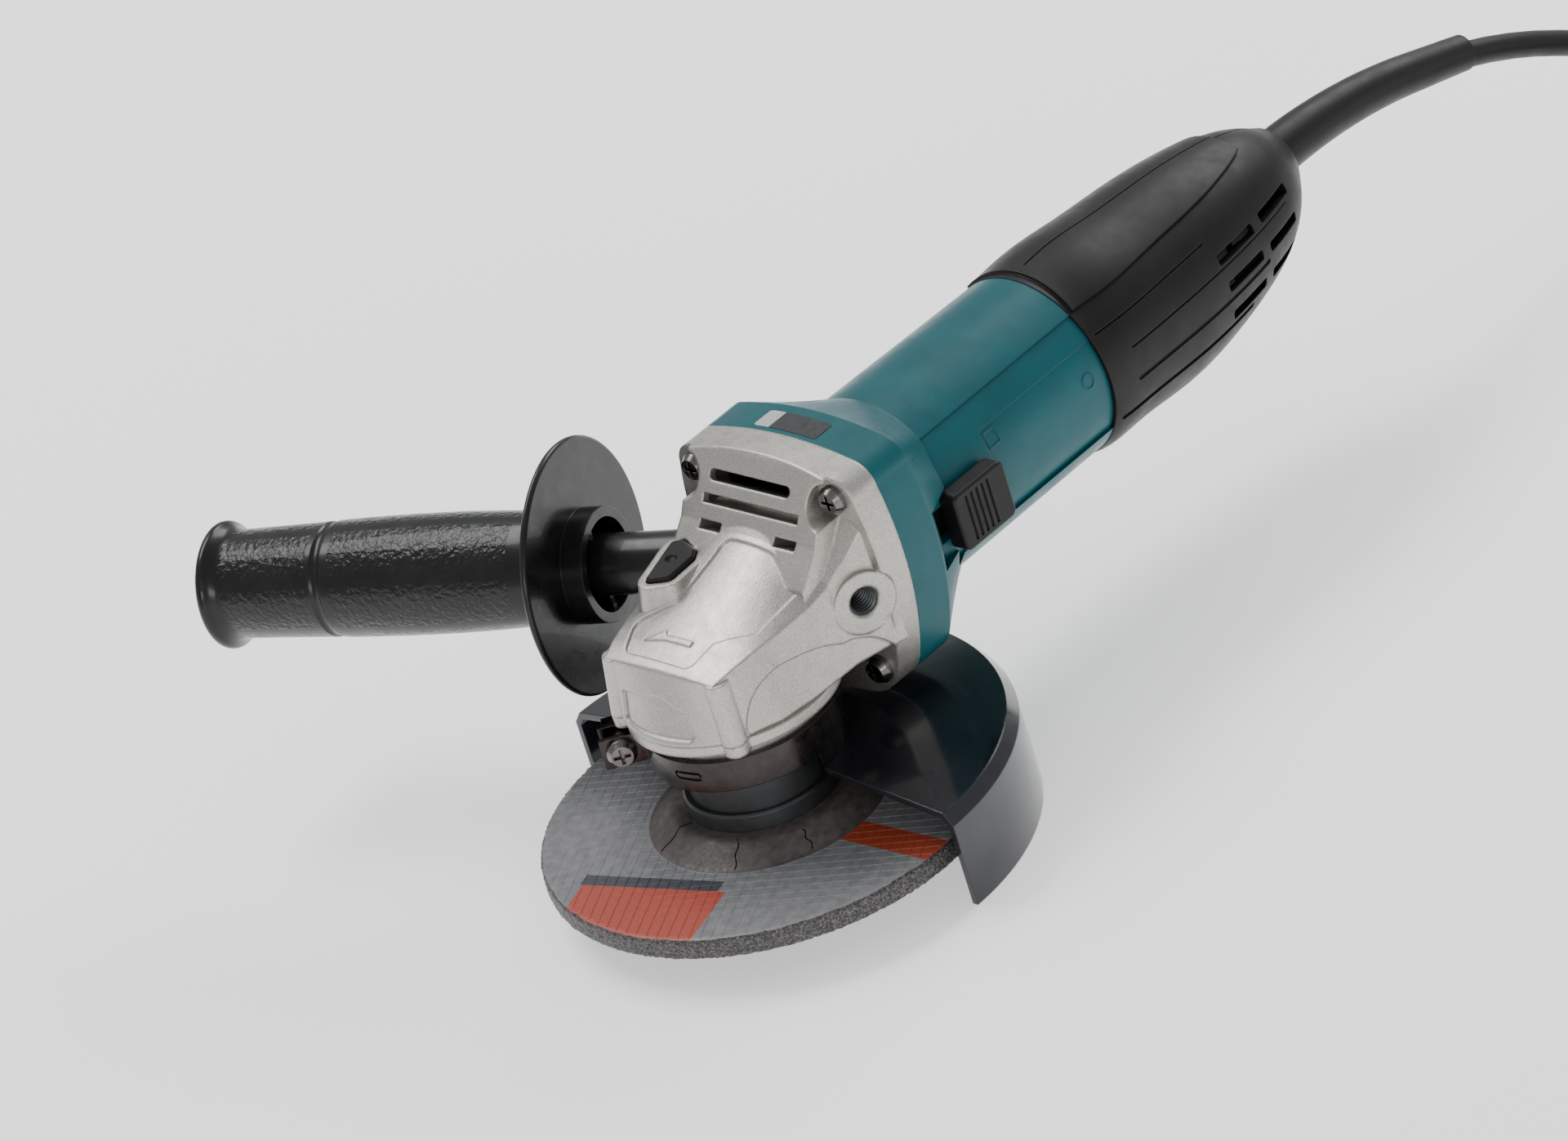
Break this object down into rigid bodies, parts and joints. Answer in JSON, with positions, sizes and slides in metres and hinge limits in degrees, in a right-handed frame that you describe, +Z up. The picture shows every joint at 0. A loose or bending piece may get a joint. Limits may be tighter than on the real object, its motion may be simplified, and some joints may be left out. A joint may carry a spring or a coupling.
{
  "type": "angle grinder",
  "caption": "Corded angle grinder with a slide switch, side handle, turning wheel guard, bevel gearhead and a depressed-centre grinding wheel.",
  "frame": {"origin": "on the spindle axis, at the working face of the grinding wheel", "axes": "+X along the motor axis to the cord, +Y to the side handle, +Z up the spindle axis to the gear case"},
  "size_m": [0.5148, 0.3161, 0.1052],
  "materials": {
    "cast_alloy": "sand-cast alloy with a champagne silver coat",
    "teal_plastic": "glass-filled moulding, teal",
    "black_plastic": "satin moulding, charcoal",
    "grip_plastic": "moulded, pebble texture on the panels",
    "guard_steel": "glossy dark coating on pressed steel",
    "band_steel": "dark nickel plating",
    "bright_steel": "ground steel",
    "dark_steel": "phosphated steel",
    "screw_steel": "dark bright plating",
    "abrasive": "grey abrasive grain with a paper face",
    "lamination": "stacked electrical sheet",
    "copper": "enamelled winding wire",
    "brass": "drawn brass",
    "carbon": "pressed carbon",
    "fan_plastic": "moulded nylon",
    "cord_rubber": "matte rubber sheath",
    "nickel": "nickel plating"
  },
  "bodies": {
    "housing": {"gear_housing": "cast_alloy", "gear_housing_screws": "screw_steel", "bearing_box": "cast_alloy", "bearing_box_screws": "screw_steel", "bearing_retainer": "bright_steel", "spindle_bearing": "bright_steel", "spindle_top_bush": "bright_steel", "armature_front_bearing": "bright_steel", "armature_rear_bearing": "bright_steel", "motor_housing": "teal_plastic", "stator_core": "lamination", "stator_windings": "copper", "air_baffle": "fan_plastic", "brush_holders": "brass", "carbon_brushes": "carbon", "brush_springs": "bright_steel", "switch_unit": "fan_plastic", "noise_capacitor": "fan_plastic", "rear_cover": "black_plastic", "rear_cover_screw": "screw_steel", "cord_clamp": "fan_plastic", "cord_clamp_screws": "screw_steel", "cord_guard": "cord_rubber", "power_cord": "cord_rubber", "cord_coil": "cord_rubber", "plug_body": "cord_rubber", "plug_pins": "nickel", "side_handle_grip": "grip_plastic", "side_handle_stud": "bright_steel", "shaft_lock_spring": "bright_steel"},
    "spindle": {"spindle": "bright_steel", "drive_gear": "dark_steel", "gear_retaining_clip": "dark_steel", "inner_flange": "dark_steel", "grinding_wheel": "abrasive", "lock_nut": "dark_steel"},
    "armature": {"armature_shaft": "bright_steel", "armature_core": "lamination", "armature_windings": "copper", "commutator": "copper", "cooling_fan": "fan_plastic", "pinion": "dark_steel", "pinion_nut": "bright_steel"},
    "guard": {"guard_shell": "guard_steel", "guard_band": "band_steel", "guard_clamp_screw": "screw_steel", "guard_clamp_nut": "band_steel"},
    "switch": {"slide_switch_knob": "black_plastic", "switch_rod": "fan_plastic"},
    "shaft_lock": {"shaft_lock_button": "black_plastic", "shaft_lock_pin": "bright_steel"}
  },
  "joints": [
    {"name": "spindle_spin", "type": "hinge", "parent": "housing", "child": "spindle", "pos_m": [0, 0, 0], "axis": [0, 0, 1], "continuous": true},
    {"name": "armature_spin", "type": "hinge", "parent": "housing", "child": "armature", "pos_m": [0, 0, 0.0602], "axis": [1, 0, 0], "continuous": true},
    {"name": "guard_turn", "type": "hinge", "parent": "housing", "child": "guard", "pos_m": [0, 0, 0.03], "axis": [0, 0, 1], "range_deg": [-60, 120]},
    {"name": "switch_slide", "type": "slide", "parent": "housing", "child": "switch", "axis": [-1, 0, 0], "range_m": [0, 0.007]},
    {"name": "shaft_lock_press", "type": "slide", "parent": "housing", "child": "shaft_lock", "axis": [0, 0, -1], "range_m": [0, 0.004], "stiffness_N_per_m": 900, "springref_m": -0.002, "deforming": ["shaft_lock_spring"]}
  ],
  "couplings": [
    {"joint": "armature_spin", "follows": "spindle_spin", "ratio": 3.3636}
  ]
}
